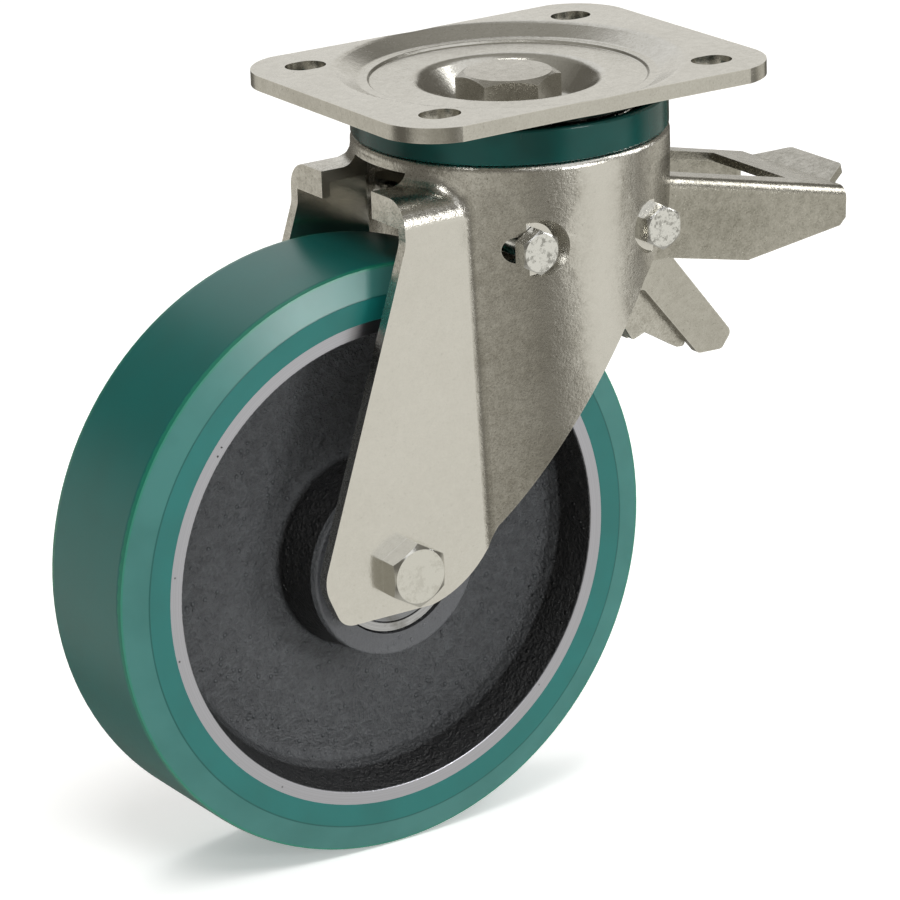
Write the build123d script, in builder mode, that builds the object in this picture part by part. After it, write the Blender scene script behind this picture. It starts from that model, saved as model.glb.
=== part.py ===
from build123d import *
import math
import os

# Swivel castor with a pressed steel fork, a cast iron wheel with a moulded tyre,
# and a foot brake that stops both the wheel and the swivel.
# Origin: centre of the mounting plate's top face, on the swivel axis.
# +Z is up, +X points to the brake pedal, and the wheel axle lies along Y.
# All sizes are in millimetres.

os.makedirs("parts", exist_ok=True)

# Overall
wheel_diameter = 198.5
head_room = 50.75
axle_offset = 67.0

# Mounting plate
plate_length = 143.5
plate_width = 115.4
plate_thickness = 5.0
plate_corner_radius = 20.5
plate_waist = 1.0
plate_hole_spacing_x = 105.0
plate_hole_spacing_y = 80.0
plate_hole_radius = 5.5
plate_hole_length = 14.0
dish_radius = 57.0
dish_slope = 8.0
dish_depth = 4.5
dish_step_inset = 11.0
dish_step = 0.9
recess_radius = 30.5
recess_floor_radius = 21.5
recess_depth = 14.5

# Kingpin and swivel head
kingpin_radius = 10.0
kingpin_across_flats = 30.0
kingpin_head_height = 12.0
kingpin_nut_height = 10.0
kingpin_overhang = 2.0
kingpin_spacer_wall = 3.0
head_gap = 1.0
swivel_ball_radius = 5.2
swivel_ball_circle_radius = 38.0
swivel_ball_count = 20
lower_ball_radius = 2.9
lower_ball_circle_radius = 20.0
lower_ball_count = 16
lower_race_thickness = 3.2
lower_race_radius = 25.0
lock_ring_radius = 26.0
lock_ring_thickness = 3.5
lock_tooth_count = 24
lock_tooth_depth = 2.6
seal_inset = 0.2
seal_wall = 3.0
seal_top_gap = 0.6

# Fork
sheet = 4.0
crown_thickness = 4.5
head_radius = 52.2
head_drop = 8.0
head_edge_radius = 2.5
skirt_taper = 3.5
leg_gap = 61.0
bend_radius = 9.0
crease_radius = 5.0
leg_front_x = -63.3
leg_front_drop = 5.0
leg_heel_reach = 31.6
leg_heel_rise = 1.0
leg_end_drop = 14.0
leg_end_corner = 13.0
leg_end_flat = 9.0
leg_toe_reach = 31.0
leg_toe_rise = 0.5
leg_toe_bow = 2.5
shelf_gap = 30.0
front_lip_height = 5.0
front_lip_thickness = 3.0
pedal_opening = 64.0
skirt_edge_top_x = 44.0
skirt_edge_top_z = -42.0
skirt_knee_x = 19.0
skirt_knee_z = -66.0
skirt_bow = -0.4
skirt_end_reach = 34.0
skirt_end_rise = 8.0
bolt_seat_radius = 8.6
bolt_seat_flank = 30.0
bolt_seat_face = 45.5
bolt_seat_depth = 7.5

# Wheel
tread_width = 50.0
tyre_thickness = 16.75
tyre_step_depth = 7.5
tyre_bevel_width = 2.7
tyre_edge_drop = 0.4
tread_flat = 40.0
rim_wall = 4.4
rim_draft = 3.6
rim_floor_half = 12.0
web_half_hub = 5.0
web_half_rim = 6.5
hub_length = 55.0
hub_radius = 30.6
hub_draft = 2.4
hub_fillet = 5.0
rim_fillet = 5.0

# Wheel bearings and axle
bearing_bore_radius = 10.0
bearing_outer_radius = 23.5
bearing_width = 14.0
bearing_inner_land = 13.6
bearing_outer_land = 19.6
bearing_ball_radius = 3.9
bearing_ball_count = 8
bearing_sink = 1.0
shield_thickness = 0.6
axle_bolt_radius = 6.0
axle_across_flats = 19.0
axle_head_height = 7.5
axle_nut_height = 10.0
axle_thread_end = 3.0
collar_radius = 13.2

# Shape of every hexagonal head and nut
hex_top_share = 0.95
hex_bevel_slope = 0.55

# Small bolts of the brake
small_bolt_radius = 4.0
small_across_flats = 13.0
small_head_height = 5.3
small_nut_height = 6.5
small_thread_end = 2.0

# Brake pedal
pivot_x = 25.0
pivot_z = -49.0
pivot_sleeve_radius = 6.0
pedal_sheet = 3.0
pedal_width = 62.0
pedal_slope = 12.6
pedal_root_x = 42.0
pedal_root_z = -39.4
pedal_wall_end_x = 114.5
pedal_bend = 4.0
pedal_window_end = 97.0
pedal_window_width = 41.0
pedal_tongue_length = 11.3
pedal_tongue_corner = 2.5
pedal_tongue_root_width = 43.0
pedal_tongue_tip_width = 28.0
pedal_tongue_lift = 25.0
pedal_eye_radius = 10.0
pedal_knee = (73.0, -73.6)
pedal_tip_low = (113.6, -68.2)
pedal_inner_low = (40.4, -66.6)
pedal_travel = 16.0
pedal_end_corner = 2.0
cam_arm = 14.0
cam_pin_radius = 4.0
cam_eye_radius = 7.0

# Brake carriage, shoe and swivel lock
carriage_travel = 4.2
carriage_sheet = 3.0
carriage_width = 44.0
guide_bolt_x = -23.0
guide_bolt_z = -48.3
guide_eye_radius = 7.0
carriage_top_z = -41.6
carriage_ear_top_z = -35.5
carriage_back_x = 38.6
lever_reach = 38.0
lever_rise = 6.8
lever_width = 14.8
lever_corner = 2.5
lever_corner_cut = 5.7
lever_start_angle = 35.6
lever_end_angle = 20.2
release_tab_width = 12.0
release_tab_length = 16.0
release_tab_angle = 30.0
shoe_width = 40.0
shoe_plate = 3.0
shoe_start_angle = 34.0
shoe_end_angle = 58.0
shoe_pin_reach = 13.6
shoe_pin_angle = 41.3
shoe_pin_radius = 3.0
shoe_ear_radius = 5.0
shoe_lug_margin = 4.5
bracket_sheet = 3.5
bracket_reach = 24.2
bracket_rise = 4.8
bracket_shoulder = 27.3
bracket_depth = 4.2
bracket_start_angle = 36.8
bracket_end_angle = 21.5
adjuster_angle = 31.5
adjuster_web_reach = 14.8
adjuster_web_width = 11.0
adjuster_radius = 3.0
adjuster_across_flats = 10.0
adjuster_head_height = 4.0
adjuster_nut_height = 4.5
pawl_thickness = 2.5
pawl_engagement = 2.1

# Clearances
running = 0.05
seat_gap = 0.3
slot_play = 0.4

# Places worked out from the sizes above
tread_radius = wheel_diameter / 2
axle_z = -head_room - tread_radius
axle = (-axle_offset, 0, axle_z)
axle_axis = Axis(axle, (0, 1, 0))
dish_step_radius = dish_radius - dish_step_inset
dish_under_z = -dish_depth - plate_thickness
crown_top_z = -recess_depth - plate_thickness - head_gap
crown_under_z = crown_top_z - crown_thickness
shelf_z = crown_top_z - head_drop
leg_inner = leg_gap / 2
leg_outer = leg_inner + sheet
leg_end_z = axle_z - leg_end_drop
skirt_low_radius = head_radius - skirt_taper
seal_radius = head_radius - seal_inset
lower_ball_z = crown_under_z - seat_gap - lower_ball_radius
lower_race_top_z = lower_ball_z - lower_ball_radius - seat_gap
lower_race_under_z = lower_race_top_z - lower_race_thickness
lock_ring_under_z = lower_race_under_z - lock_ring_thickness
kingpin_end_z = lock_ring_under_z - kingpin_nut_height - kingpin_overhang
bolt_seat_inner = bolt_seat_face - bolt_seat_depth
rim_radius = tread_radius - tyre_thickness
tread_half = tread_width / 2
hub_half = hub_length / 2
bearing_face = hub_half - bearing_sink
bearing_back = bearing_face - bearing_width
ball_circle = (bearing_inner_land + bearing_outer_land) / 2
pedal_half = pedal_width / 2
carriage_half = carriage_width / 2
braked_centre_x = -axle_offset + carriage_travel
shoe_inner_radius = tread_radius + seat_gap
shoe_outer_radius = shoe_inner_radius + shoe_plate
pedal_fall = math.tan(math.radians(pedal_slope))

# A section plane through the axle: its x runs along the axle, its y is the radius.
wheel_section = Plane(origin=axle, x_dir=(0, 1, 0), z_dir=(1, 0, 0))
swivel_section = Plane.XZ


def side_plane(x, y, z, outward):
    """A plane across a sideways bolt, its normal pointing out along Y."""
    return Plane(origin=(x, y, z), x_dir=(1, 0, 0), z_dir=(0, outward, 0))


def hexagon(seat, across_flats, height):
    """A hexagonal head or nut that stands on the seat plane, its top corners bevelled."""
    corner_radius = across_flats / math.sqrt(3)
    with BuildPart() as bevel:
        with BuildSketch(seat):
            Circle(corner_radius)
        extrude(amount=height)
        top = bevel.edges().sort_by(Axis(seat.origin, seat.z_dir))[-1]
        bevel_width = corner_radius - across_flats * hex_top_share / 2
        chamfer(top, length=bevel_width * hex_bevel_slope, length2=bevel_width)
    with BuildPart() as head:
        with BuildSketch(seat):
            RegularPolygon(across_flats / 2, 6, major_radius=False, rotation=30)
        extrude(amount=height)
        add(bevel.part, mode=Mode.INTERSECT)
    return head.part


def hex_bolt(seat, across_flats, head_height, shank_radius, shank_length):
    """A hex bolt: head on the seat plane, shank running back through it."""
    with BuildPart() as bolt:
        add(hexagon(seat, across_flats, head_height))
        with BuildSketch(seat):
            Circle(shank_radius)
        extrude(amount=-shank_length)
        tip = bolt.edges().sort_by(Axis(seat.origin, seat.z_dir))[0]
        chamfer(tip, length=shank_radius * 0.15)
    return bolt.part


def hex_nut(seat, across_flats, height, shank_radius):
    """A hex nut on the seat plane, bored to go over the shank."""
    with BuildPart() as nut:
        add(hexagon(seat, across_flats, height))
        with BuildSketch(seat):
            Circle(shank_radius + running)
        extrude(amount=height, mode=Mode.SUBTRACT)
    return nut.part


def pin(plane, radius, length):
    """A plain round pin that stands on a plane."""
    with BuildPart() as rod:
        with BuildSketch(plane):
            Circle(radius)
        extrude(amount=length)
    return rod.part


def ring(plane, inner_radius, outer_radius, length):
    """A plain ring or sleeve that stands on a plane."""
    with BuildPart() as sleeve:
        with BuildSketch(plane):
            Circle(outer_radius)
            Circle(inner_radius, mode=Mode.SUBTRACT)
        extrude(amount=length)
    return sleeve.part


def dish_line(drop):
    """The pressed line of the mounting plate, from the swivel axis outwards."""
    slope_end = dish_radius - dish_slope
    points = [
        (0, -recess_depth - drop),
        (recess_floor_radius, -recess_depth - drop),
        (recess_radius, -dish_depth - drop),
        (dish_step_radius - dish_step, -dish_depth - drop),
        (dish_step_radius, dish_step - dish_depth - drop),
        (slope_end, dish_step - dish_depth - drop),
        (dish_radius, -drop),
        (plate_length, -drop),
    ]
    return FilletPolyline(*points, radius=[4.0, 4.0, 0.5, 0.5, 2.5, 6.0])


# Mounting plate: 5 mm sheet with a stepped round dish pressed into its middle.
with BuildPart() as top_plate:
    with BuildSketch(swivel_section):
        with BuildLine():
            upper = dish_line(0)
            lower = dish_line(plate_thickness)
            Line(upper @ 0, lower @ 0)
            Line(upper @ 1, lower @ 1)
        make_face()
    revolve(axis=Axis.Z)
    waist_radius = (plate_length ** 2 / 4 + plate_waist ** 2) / (2 * plate_waist)
    waist_centre = plate_width / 2 - plate_waist + waist_radius
    with BuildSketch(Plane.XY.offset(-recess_depth - plate_thickness)):
        RectangleRounded(plate_length, plate_width, plate_corner_radius)
        with Locations((0, waist_centre), (0, -waist_centre)):
            Circle(waist_radius, mode=Mode.SUBTRACT)
    extrude(amount=recess_depth + plate_thickness, mode=Mode.INTERSECT)
    with BuildSketch(Plane.XY):
        with GridLocations(plate_hole_spacing_x, plate_hole_spacing_y, 2, 2):
            SlotOverall(plate_hole_length, plate_hole_radius * 2)
        Circle(kingpin_radius + running)
    extrude(amount=-recess_depth - plate_thickness, mode=Mode.SUBTRACT)

# Kingpin: bolt, spacer, lower ball race, toothed lock ring and nut, all held to the plate.
with BuildPart() as kingpin_bolt:
    kingpin_seat = Plane.XY.offset(-recess_depth)
    kingpin_length = -recess_depth - kingpin_end_z
    add(hex_bolt(kingpin_seat, kingpin_across_flats, kingpin_head_height, kingpin_radius, kingpin_length))

with BuildPart() as kingpin_spacer:
    spacer_plane = Plane.XY.offset(lower_race_top_z)
    spacer_radius = kingpin_radius + kingpin_spacer_wall
    spacer_length = -recess_depth - plate_thickness - lower_race_top_z
    add(ring(spacer_plane, kingpin_radius + running, spacer_radius, spacer_length))

with BuildPart() as lower_race:
    lip = seat_gap + lower_ball_radius / 2
    with BuildSketch(swivel_section):
        with BuildLine():
            Polyline(
                (kingpin_radius + running, lower_race_top_z),
                (lower_race_radius - carriage_sheet / 2, lower_race_top_z),
                (lower_race_radius - carriage_sheet / 2, lower_race_top_z + lip),
                (lower_race_radius, lower_race_top_z + lip),
                (lower_race_radius, lower_race_under_z),
                (kingpin_radius + running, lower_race_under_z),
                close=True,
            )
        make_face()
    revolve(axis=Axis.Z)

with BuildPart() as swivel_lock_ring:
    tooth_step = 360 / lock_tooth_count
    notch_half = math.radians(tooth_step / 4)
    notch_root = lock_ring_radius - lock_tooth_depth
    with BuildSketch(Plane.XY.offset(lower_race_under_z)):
        Circle(lock_ring_radius)
        Circle(kingpin_radius + running, mode=Mode.SUBTRACT)
        with PolarLocations(0, lock_tooth_count):
            Polygon(
                (notch_root, -notch_root * notch_half * 0.6),
                (lock_ring_radius + 1, -lock_ring_radius * notch_half * 1.3),
                (lock_ring_radius + 1, lock_ring_radius * notch_half * 1.3),
                (notch_root, notch_root * notch_half * 0.6),
                align=None,
                mode=Mode.SUBTRACT,
            )
    extrude(amount=-lock_ring_thickness)

with BuildPart() as kingpin_nut:
    nut_seat = Plane(origin=(0, 0, lock_ring_under_z), x_dir=(1, 0, 0), z_dir=(0, 0, -1))
    add(hex_nut(nut_seat, kingpin_across_flats, kingpin_nut_height, kingpin_radius))

# Dust seal: a plain plastic ring that stands on the fork's crown and hides the balls.
with BuildPart() as dust_seal:
    seal_top_z = -plate_thickness - dish_depth + dish_step - seal_top_gap
    with BuildSketch(swivel_section):
        with BuildLine():
            Polyline(
                (seal_radius - seal_wall, crown_top_z),
                (seal_radius, crown_top_z),
                (seal_radius, seal_top_z),
                (seal_radius - seal_wall, seal_top_z),
                close=True,
            )
        seal_face = make_face()
        fillet(seal_face.vertices().group_by(Axis.Z)[-1], radius=0.8)
    revolve(axis=Axis.Z)

# Ball rows of the swivel head.
with BuildPart() as upper_balls:
    upper_ball_z = dish_under_z - seat_gap - swivel_ball_radius
    with Locations(Plane.XY.offset(upper_ball_z)):
        with PolarLocations(swivel_ball_circle_radius, swivel_ball_count):
            Sphere(swivel_ball_radius)

with BuildPart() as lower_balls:
    with Locations(Plane.XY.offset(lower_ball_z)):
        with PolarLocations(lower_ball_circle_radius, lower_ball_count):
            Sphere(lower_ball_radius)


def fork_form(inset):
    """The fork's pressed form as a solid, drawn in by an inset for its inner face."""
    depth = leg_end_z - shelf_z
    with BuildPart() as form:
        with BuildSketch(Plane.XY.offset(shelf_z - inset)):
            with Locations((-plate_length / 2, 0)):
                Rectangle(plate_length, 2 * (leg_outer - inset))
        extrude(amount=depth + inset)
        fillet(form.edges().filter_by(Axis.X).group_by(Axis.Z)[-1], radius=bend_radius - inset)
        with BuildSketch(Plane.XY.offset(shelf_z)):
            Circle(head_radius - inset)
        with BuildSketch(Plane.XY.offset(leg_end_z)):
            Circle(skirt_low_radius - inset)
        loft()
        with BuildSketch(Plane.XY.offset(shelf_z)):
            Circle(head_radius - inset)
        extrude(amount=head_drop - inset * crown_thickness / sheet)
    return form.part


def is_crease(edge):
    """Whether an edge of the fork's outer form lies where a leg runs into the round skirt."""
    middle = edge.center()
    crease_x = -skirt_low_radius * math.cos(math.asin(leg_outer / skirt_low_radius))
    off_centre = abs(middle.Y) > shelf_gap / 2
    return off_centre and -head_radius < middle.X < crease_x / 2 and leg_end_z < middle.Z < shelf_z


def bowed(start, end, bow):
    """An arc between two points that bulges to the right of its run by a named bow."""
    run = Vector(*end) - Vector(*start)
    middle = Vector(*start) + run / 2 + run.normalized().rotate(Axis.Z, -90) * bow
    return ThreePointArc(start, middle, end)


def bolt_seat_shape(radius, travel):
    """A round seat, or a long one where its bolt slides."""
    if travel:
        return SlotCenterToCenter(travel, 2 * radius)
    return Circle(radius)


# Fork: one pressing with a round crown, two straight legs and a bulging skirt.
bolt_seats = [
    (side, x, z, travel)
    for side in (-1, 1)
    for x, z, travel in ((pivot_x, pivot_z, 0), (guide_bolt_x - carriage_travel / 2, guide_bolt_z, carriage_travel))
]
with BuildPart() as fork_outside:
    add(fork_form(0))
    fillet(fork_outside.edges().filter_by(is_crease), radius=crease_radius)
    fillet(fork_outside.edges().group_by(Axis.Z)[-1], radius=head_edge_radius)
    # flat seats sunk into the skirt for the pivot bolt and the guide bolt
    for side, seat_x, seat_z, travel in bolt_seats:
        with BuildSketch(side_plane(seat_x, side * bolt_seat_face, seat_z, side)):
            bolt_seat_shape(bolt_seat_radius, travel)
        extrude(amount=bolt_seat_radius, taper=-bolt_seat_flank, mode=Mode.SUBTRACT)

with BuildPart() as fork_inside:
    add(fork_form(sheet))
    # the seats are backed by thicker sheet inside
    for side, seat_x, seat_z, travel in bolt_seats:
        with BuildSketch(side_plane(seat_x, side * bolt_seat_inner, seat_z, side)):
            bolt_seat_shape(bolt_seat_radius, travel)
        extrude(amount=head_radius, mode=Mode.SUBTRACT)

with BuildPart() as fork:
    add(fork_outside.part)
    add(fork_inside.part, mode=Mode.SUBTRACT)
    # the pressing's side outline: straight front edge, round leg end, bowed skirt edge
    leg_heel = (-axle_offset - leg_heel_reach, axle_z + leg_heel_rise)
    leg_toe = (-axle_offset + leg_toe_reach, axle_z + leg_toe_rise)
    skirt_end = (-axle_offset + skirt_end_reach, axle_z + skirt_end_rise)
    skirt_knee = (skirt_knee_x, skirt_knee_z)
    with BuildSketch(Plane.XZ):
        with BuildLine():
            front = FilletPolyline(
                (leg_front_x, 0),
                (leg_front_x, shelf_z - bend_radius - leg_front_drop),
                leg_heel,
                (leg_heel[0] + leg_end_corner / 2, leg_end_z),
                (-axle_offset + leg_end_flat, leg_end_z),
                radius=[bend_radius, leg_end_corner, leg_end_corner / 2],
            )
            toe = bowed(front @ 1, leg_toe, leg_toe_bow)
            notch = Line(toe @ 1, skirt_end)
            edge = bowed(notch @ 1, skirt_knee, skirt_bow)
            Polyline(
                edge @ 1,
                (skirt_edge_top_x, skirt_edge_top_z),
                (plate_length / 2, skirt_edge_top_z),
                (plate_length / 2, 0),
                (leg_front_x, 0),
            )
        make_face()
    extrude(amount=plate_width, both=True, mode=Mode.INTERSECT)
    # opening at the back for the pedal, and the gap between the two shelves in front
    with BuildSketch(Plane.XY.offset(shelf_z - seat_gap)):
        with Locations((plate_length / 2, 0)):
            Rectangle(plate_length / 2 + head_radius, pedal_opening)
    extrude(amount=leg_end_z, mode=Mode.SUBTRACT)
    with BuildSketch(Plane.XY.offset(shelf_z + seat_gap)):
        with Locations((-head_radius - plate_length / 2, 0)):
            Rectangle(plate_length, shelf_gap)
    extrude(amount=leg_end_z, mode=Mode.SUBTRACT)
    with BuildSketch(Plane.XY.offset(crown_under_z)):
        with Locations((-plate_length / 2 - leg_inner, 0)):
            Rectangle(plate_length, shelf_gap)
    extrude(amount=leg_end_z, mode=Mode.SUBTRACT)
    with BuildSketch(Plane.XY.offset(crown_under_z)):
        Circle(spacer_radius + seat_gap)
    extrude(amount=crown_thickness, mode=Mode.SUBTRACT)
    # stiffening lips under the front edges of the two shelves
    for side in (-1, 1):
        with BuildSketch(Plane.XZ.offset(-side * leg_inner)):
            with Locations((leg_front_x + front_lip_thickness / 2, shelf_z - sheet - front_lip_height / 2)):
                Rectangle(front_lip_thickness, front_lip_height)
        extrude(amount=side * (leg_inner - shelf_gap / 2))
        # spot face inside for the end of the pivot sleeve
        with BuildSketch(side_plane(pivot_x, side * bolt_seat_inner, pivot_z, -side)):
            Circle(pivot_sleeve_radius + seat_gap)
        extrude(amount=bolt_seat_depth, mode=Mode.SUBTRACT)
    # guide slots, pivot holes and axle holes go through both sides
    with BuildSketch(Plane.XZ):
        with Locations((guide_bolt_x - carriage_travel / 2, guide_bolt_z)):
            SlotCenterToCenter(carriage_travel, 2 * (small_bolt_radius + slot_play))
        with Locations((pivot_x, pivot_z)):
            Circle(small_bolt_radius + running)
        with Locations((-axle_offset, axle_z)):
            Circle(axle_bolt_radius + running)
    extrude(amount=plate_width, both=True, mode=Mode.SUBTRACT)

# Wheel centre: one iron casting with a rim, a thin web and a long hub.
with BuildPart() as wheel_core:
    face_inner = rim_radius - rim_wall
    floor_radius = face_inner - rim_draft
    hub_root = hub_radius + hub_draft
    with BuildSketch(wheel_section):
        with BuildLine():
            half = FilletPolyline(
                (hub_half, bearing_outer_radius),
                (hub_half, hub_radius),
                (web_half_hub, hub_root),
                (web_half_rim, floor_radius - 3),
                (rim_floor_half, floor_radius),
                (tread_half, face_inner),
                (tread_half, rim_radius),
                radius=[1.0, hub_fillet, rim_fillet, rim_fillet, 0.5],
            )
            mirror(half, about=Plane.YZ)
            Line((hub_half, bearing_outer_radius), (-hub_half, bearing_outer_radius))
            Line((tread_half, rim_radius), (-tread_half, rim_radius))
        make_face()
        with BuildLine():
            Polyline(
                (bearing_back, bearing_outer_land),
                (bearing_back, bearing_outer_radius),
                (-bearing_back, bearing_outer_radius),
                (-bearing_back, bearing_outer_land),
                close=True,
            )
        make_face()
    revolve(axis=axle_axis)

# Tyre: moulded onto the rim, with a bevelled shoulder and a nearly flat tread.
with BuildPart() as tyre:
    with BuildSketch(wheel_section):
        with BuildLine():
            step_radius = rim_radius + tyre_step_depth
            shoulder = Polyline(
                (tread_half, rim_radius),
                (tread_half, step_radius),
                (tread_half - tyre_bevel_width, tread_radius - tyre_edge_drop),
            )
            crown = ThreePointArc(
                shoulder @ 1,
                ((tread_half - tyre_bevel_width + tread_flat / 2) / 2, tread_radius - tyre_edge_drop / 4),
                (tread_flat / 2, tread_radius),
            )
            mirror(shoulder, about=Plane.YZ)
            mirror(crown, about=Plane.YZ)
            Line((tread_half, rim_radius), (-tread_half, rim_radius))
            Line((tread_flat / 2, tread_radius), (-tread_flat / 2, tread_radius))
        make_face()
    revolve(axis=axle_axis)


def ring_section(inner_radius, outer_radius, start, end, bevel, groove=False):
    """A turned ring about the axle, its corners bevelled, with a ball groove where asked."""
    with BuildPart() as turned:
        with BuildSketch(wheel_section):
            with Locations(((start + end) / 2, (inner_radius + outer_radius) / 2)):
                band = Rectangle(abs(end - start), outer_radius - inner_radius)
            if bevel:
                chamfer(band.vertices(), length=bevel)
            if groove:
                with Locations(((start + end) / 2, ball_circle)):
                    Circle(bearing_ball_radius + seat_gap, mode=Mode.SUBTRACT)
        revolve(axis=axle_axis)
    return turned.part


def bearing_balls(centre):
    """The balls of one wheel bearing, spread on their pitch circle."""
    with BuildPart() as balls:
        with Locations(Plane(origin=(-axle_offset, centre, axle_z), z_dir=(0, 1, 0))):
            with PolarLocations(ball_circle, bearing_ball_count):
                Sphere(bearing_ball_radius)
    return balls.part


# Two sealed ball bearings in the hub, one on each side.
pieces = {}
for label, side in (("near", -1), ("far", 1)):
    face = side * bearing_face
    back = side * bearing_back
    shield_face = side * (bearing_face - shield_thickness)
    shield_inner = bearing_inner_land + seat_gap
    pieces[f"bearing_outer_{label}"] = ring_section(
        bearing_outer_land, bearing_outer_radius, back, face, 0.6, groove=True
    )
    pieces[f"bearing_inner_{label}"] = ring_section(
        bearing_bore_radius + running, bearing_inner_land, back, face, 0.6, groove=True
    )
    pieces[f"bearing_shield_{label}"] = ring_section(shield_inner, bearing_outer_land, shield_face, face, 0)
    pieces[f"bearing_balls_{label}"] = bearing_balls((face + back) / 2)
    pieces[f"axle_collar_{label}"] = ring_section(
        bearing_bore_radius + running, collar_radius, face, side * leg_inner, 0.5
    )

pieces["axle_spacer"] = ring_section(
    bearing_bore_radius + running, bearing_inner_land, -bearing_back, bearing_back, 0
)
pieces["axle_tube"] = ring_section(axle_bolt_radius + running, bearing_bore_radius, -leg_inner, leg_inner, 0)

# Axle bolt and nut, clamped across the two legs.
near_leg = side_plane(-axle_offset, -leg_outer, axle_z, -1)
far_leg = side_plane(-axle_offset, leg_outer, axle_z, 1)
axle_reach = 2 * leg_outer + axle_nut_height + axle_thread_end
pieces["axle_bolt"] = hex_bolt(near_leg, axle_across_flats, axle_head_height, axle_bolt_radius, axle_reach)
pieces["axle_nut"] = hex_nut(far_leg, axle_across_flats, axle_nut_height, axle_bolt_radius)

# Pedal pivot: bolt, nut and the sleeve that the pedal turns on.
near_seat = side_plane(pivot_x, -bolt_seat_face, pivot_z, -1)
far_seat = side_plane(pivot_x, bolt_seat_face, pivot_z, 1)
small_reach = 2 * bolt_seat_face + small_nut_height + small_thread_end
pieces["pivot_bolt"] = hex_bolt(near_seat, small_across_flats, small_head_height, small_bolt_radius, small_reach)
pieces["pivot_nut"] = hex_nut(far_seat, small_across_flats, small_nut_height, small_bolt_radius)
pieces["pivot_sleeve"] = ring(
    side_plane(pivot_x, -bolt_seat_inner, pivot_z, 1),
    small_bolt_radius + running,
    pivot_sleeve_radius,
    2 * bolt_seat_inner,
)

# Brake pedal: a folded steel channel, open below, with a window in its top.
cam_x = pivot_x
cam_z = pivot_z - cam_arm


def pedal_top(x):
    """Height of the pedal's sloping top face at a distance along X."""
    return pedal_root_z - (x - pedal_root_x) * pedal_fall


with BuildPart() as brake_pedal:
    # the folded channel, drawn from the side and hollowed from below
    with BuildSketch(Plane.XZ):
        with BuildLine():
            Polyline(
                (pedal_root_x, pedal_top(pedal_root_x)),
                (pedal_wall_end_x, pedal_top(pedal_wall_end_x)),
                (pedal_tip_low[0] + pedal_end_corner / 4, pedal_tip_low[1] + pedal_end_corner),
                (pedal_tip_low[0] - pedal_end_corner, pedal_tip_low[1] - pedal_end_corner / 4),
                pedal_knee,
                pedal_inner_low,
                (cam_x + cam_eye_radius, cam_z - cam_eye_radius / 2),
                (cam_x, cam_z - cam_eye_radius),
                (cam_x - cam_eye_radius, cam_z),
                (pivot_x - pedal_eye_radius, pivot_z - pedal_eye_radius / 2),
                (pivot_x - pedal_eye_radius, pivot_z + pedal_eye_radius / 2),
                (pivot_x, pivot_z + pedal_eye_radius),
                close=True,
            )
        make_face()
    extrude(amount=pedal_half, both=True)
    slope_edges = brake_pedal.edges().filter_by(Axis.Y, reverse=True)
    top_long = slope_edges.filter_by(lambda e: abs(e.tangent_at(0).Y) < 0.01 and e.center().X > pedal_root_x + 5)
    fillet(top_long.sort_by(Axis.Z)[-2:], radius=pedal_bend)
    with BuildSketch(Plane.XZ):
        with BuildLine():
            Polyline(
                (-plate_length, pedal_top(pedal_root_x) + plate_width),
                (pedal_root_x, pedal_top(pedal_root_x) + plate_width),
                (pedal_root_x, pedal_top(pedal_root_x) - pedal_sheet),
                (plate_length, pedal_top(plate_length) - pedal_sheet),
                (plate_length, -plate_length),
                (-plate_length, -plate_length),
                close=True,
            )
        make_face()
    extrude(amount=pedal_half - pedal_sheet, both=True, mode=Mode.SUBTRACT)
    # foot tongue at the tip, bent up from the top face
    tongue_turn = math.radians(pedal_tongue_lift - pedal_slope)
    tongue_root_half = pedal_tongue_root_width / 2
    tongue_tip_half = pedal_tongue_tip_width / 2
    tongue_plane = Plane(
        origin=(pedal_wall_end_x, 0, pedal_top(pedal_wall_end_x)),
        x_dir=(math.cos(tongue_turn), 0, math.sin(tongue_turn)),
        z_dir=(-math.sin(tongue_turn), 0, math.cos(tongue_turn)),
    )
    with BuildSketch(tongue_plane):
        with BuildLine():
            Polyline(
                (-pedal_sheet, -tongue_root_half),
                (0, -tongue_root_half),
                (pedal_tongue_length, -tongue_tip_half),
                (pedal_tongue_length, tongue_tip_half),
                (0, tongue_root_half),
                (-pedal_sheet, tongue_root_half),
                close=True,
            )
        tongue = make_face()
        fillet(tongue.vertices().group_by(Axis.X)[-1], radius=pedal_tongue_corner)
    extrude(amount=-pedal_sheet)
    # window, pivot bores and cam pin bores
    with BuildSketch(Plane.XY):
        with Locations((pedal_window_end / 2, 0)):
            Rectangle(pedal_window_end, pedal_window_width)
    extrude(amount=pedal_top(pedal_window_end) - pedal_sheet * 2, mode=Mode.SUBTRACT)
    with BuildSketch(Plane.XZ):
        with Locations((pivot_x, pivot_z)):
            Circle(pivot_sleeve_radius + running)
        with Locations((cam_x, cam_z)):
            Circle(cam_pin_radius + running)
    extrude(amount=pedal_half, both=True, mode=Mode.SUBTRACT)

pieces["cam_pin"] = pin(side_plane(cam_x, -pedal_half, cam_z, 1), cam_pin_radius, pedal_width)

# Brake carriage: a folded lever that slides on the pivot sleeve and the guide bolt.
# Its lower end follows the tread, so it is set out from the braked wheel's centre.
braked_centre = (braked_centre_x, axle_z)
cam_face_x = cam_x - cam_pin_radius - seat_gap
cam_rise = cam_arm * (1 - math.cos(math.radians(pedal_travel)))
carriage_inner = carriage_half - carriage_sheet
carriage_ear_x = math.sqrt((lock_ring_radius + seat_gap) ** 2 - carriage_inner ** 2) + carriage_travel + seat_gap


def off_tread(reach, degrees):
    """A point in the XZ plane, by its distance outside the braked tread and its direction."""
    turn = math.radians(degrees)
    radius = tread_radius + reach
    return (braked_centre[0] + radius * math.cos(turn), braked_centre[1] + radius * math.sin(turn))


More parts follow.
